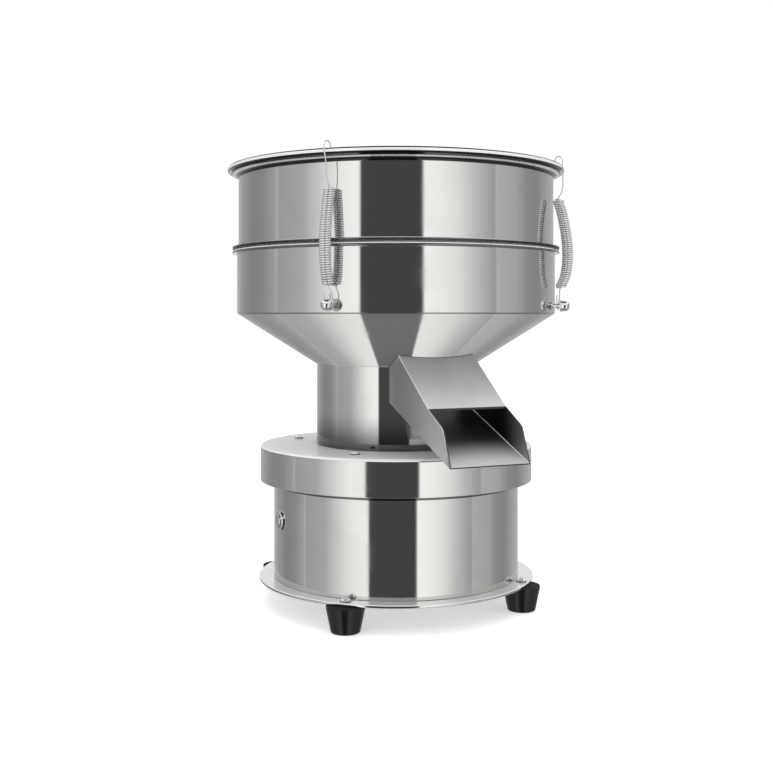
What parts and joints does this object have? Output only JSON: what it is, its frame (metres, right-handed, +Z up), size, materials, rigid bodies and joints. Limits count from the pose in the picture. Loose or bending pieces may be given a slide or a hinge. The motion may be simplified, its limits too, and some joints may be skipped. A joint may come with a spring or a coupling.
{
  "type": "vibrating sieve",
  "caption": "Tabletop vibrating sieve: round sieve ring held by hooked springs on a funnel, with a side chute, on a drum base with rubber feet.",
  "frame": {"origin": "on the floor, under the middle of the machine's outline from the rim at the back to the chute's lip at the front; the sieve's own axis stands at y = +0.012 m", "axes": "+Z up along the sieve's axis, -Y towards the chute, +X to the right as seen from the chute"},
  "size_m": [0.2998, 0.3239, 0.39],
  "materials": {
    "polished_steel": "polished stainless steel",
    "satin_steel": "satin stainless sheet",
    "wire_cloth": "woven stainless wire",
    "spring_steel": "drawn spring wire",
    "chrome": "bright chrome",
    "black_rubber": "moulded black rubber",
    "white_silicone": "food-grade silicone",
    "cast_iron": "painted casting",
    "cast_aluminium": "cast",
    "core_iron": "laminated iron",
    "copper": "enamelled copper wire",
    "black_nylon": "moulded nylon",
    "board_green": "circuit board"
  },
  "bodies": {
    "base": {"base_plate": "polished_steel", "base_drum": "polished_steel", "rubber_foot_front_left": "black_rubber", "rubber_foot_front_right": "black_rubber", "rubber_foot_rear_right": "black_rubber", "rubber_foot_rear_left": "black_rubber", "foot_screw_front_left": "chrome", "foot_screw_front_right": "chrome", "foot_screw_rear_right": "chrome", "foot_screw_rear_left": "chrome", "base_weight": "cast_iron", "leaf_spring_right": "spring_steel", "leaf_spring_rear": "spring_steel", "leaf_spring_left": "spring_steel", "leaf_spring_front": "spring_steel", "leaf_bolt_lower_right": "chrome", "leaf_bolt_lower_rear": "chrome", "leaf_bolt_lower_left": "chrome", "leaf_bolt_lower_front": "chrome", "magnet_core": "core_iron", "magnet_coil": "copper", "button_bezel": "chrome", "button_nut": "chrome", "cable_gland": "black_nylon", "gland_nut": "black_nylon", "rectifier_board": "board_green"},
    "vibrating_body": {"top_cap": "polished_steel", "cap_screw_front_left": "chrome", "cap_screw_front_right": "chrome", "cap_screw_rear_right": "chrome", "cap_screw_rear_left": "chrome", "spring_carrier": "cast_aluminium", "leaf_bolt_upper_right": "chrome", "leaf_bolt_upper_rear": "chrome", "leaf_bolt_upper_left": "chrome", "leaf_bolt_upper_front": "chrome", "armature": "core_iron", "neck": "polished_steel", "discharge_floor": "satin_steel", "chute": "satin_steel", "funnel": "polished_steel", "spring_stud_front_left": "chrome", "spring_stud_front_right": "chrome", "spring_stud_rear_right": "chrome", "spring_stud_rear_left": "chrome", "stud_nut_front_left": "chrome", "stud_nut_front_right": "chrome", "stud_nut_rear_right": "chrome", "stud_nut_rear_left": "chrome", "seal_ring": "white_silicone"},
    "sieve": {"sieve_ring": "polished_steel", "mesh_hoop": "satin_steel", "mesh_screen": "wire_cloth"},
    "power_button": {"power_button": "chrome"},
    "spring_front_left": {"hook_spring_front_left": "spring_steel"},
    "spring_front_right": {"hook_spring_front_right": "spring_steel"},
    "spring_rear_right": {"hook_spring_rear_right": "spring_steel"},
    "spring_rear_left": {"hook_spring_rear_left": "spring_steel"}
  },
  "joints": [
    {"name": "vibration", "type": "slide", "parent": "base", "child": "vibrating_body", "axis": [0, 0, 1], "range_m": [-0.001, 0.001], "stiffness_N_per_m": 100000, "springref_m": 0.0004, "deforming": ["leaf_spring_right", "leaf_spring_rear", "leaf_spring_left", "leaf_spring_front"]},
    {"name": "button_press", "type": "slide", "parent": "base", "child": "power_button", "axis": [1, 0, 0], "range_m": [0, 0.0015], "stiffness_N_per_m": 300, "springref_m": -0.001},
    {"name": "sieve_lift", "type": "slide", "parent": "vibrating_body", "child": "sieve", "axis": [0, 0, 1], "range_m": [0, 0.1]},
    {"name": "spring_swing_front_left", "type": "hinge", "parent": "vibrating_body", "child": "spring_front_left", "pos_m": [-0.10423, -0.09223, 0.262], "axis": [0.7071, -0.7071, 0], "range_deg": [0, 165], "deforming": ["hook_spring_front_left"]},
    {"name": "spring_swing_front_right", "type": "hinge", "parent": "vibrating_body", "child": "spring_front_right", "pos_m": [0.10423, -0.09223, 0.262], "axis": [0.7071, 0.7071, 0], "range_deg": [0, 165], "deforming": ["hook_spring_front_right"]},
    {"name": "spring_swing_rear_right", "type": "hinge", "parent": "vibrating_body", "child": "spring_rear_right", "pos_m": [0.10423, 0.11623, 0.262], "axis": [-0.7071, 0.7071, 0], "range_deg": [0, 165], "deforming": ["hook_spring_rear_right"]},
    {"name": "spring_swing_rear_left", "type": "hinge", "parent": "vibrating_body", "child": "spring_rear_left", "pos_m": [-0.10423, 0.11623, 0.262], "axis": [-0.7071, -0.7071, 0], "range_deg": [0, 165], "deforming": ["hook_spring_rear_left"]}
  ],
  "couplings": [
    {"joint": "spring_swing_front_left", "follows": "sieve_lift", "rad_per_m": 28.75},
    {"joint": "spring_swing_front_right", "follows": "sieve_lift", "rad_per_m": 28.75},
    {"joint": "spring_swing_rear_right", "follows": "sieve_lift", "rad_per_m": 28.75},
    {"joint": "spring_swing_rear_left", "follows": "sieve_lift", "rad_per_m": 28.75}
  ]
}
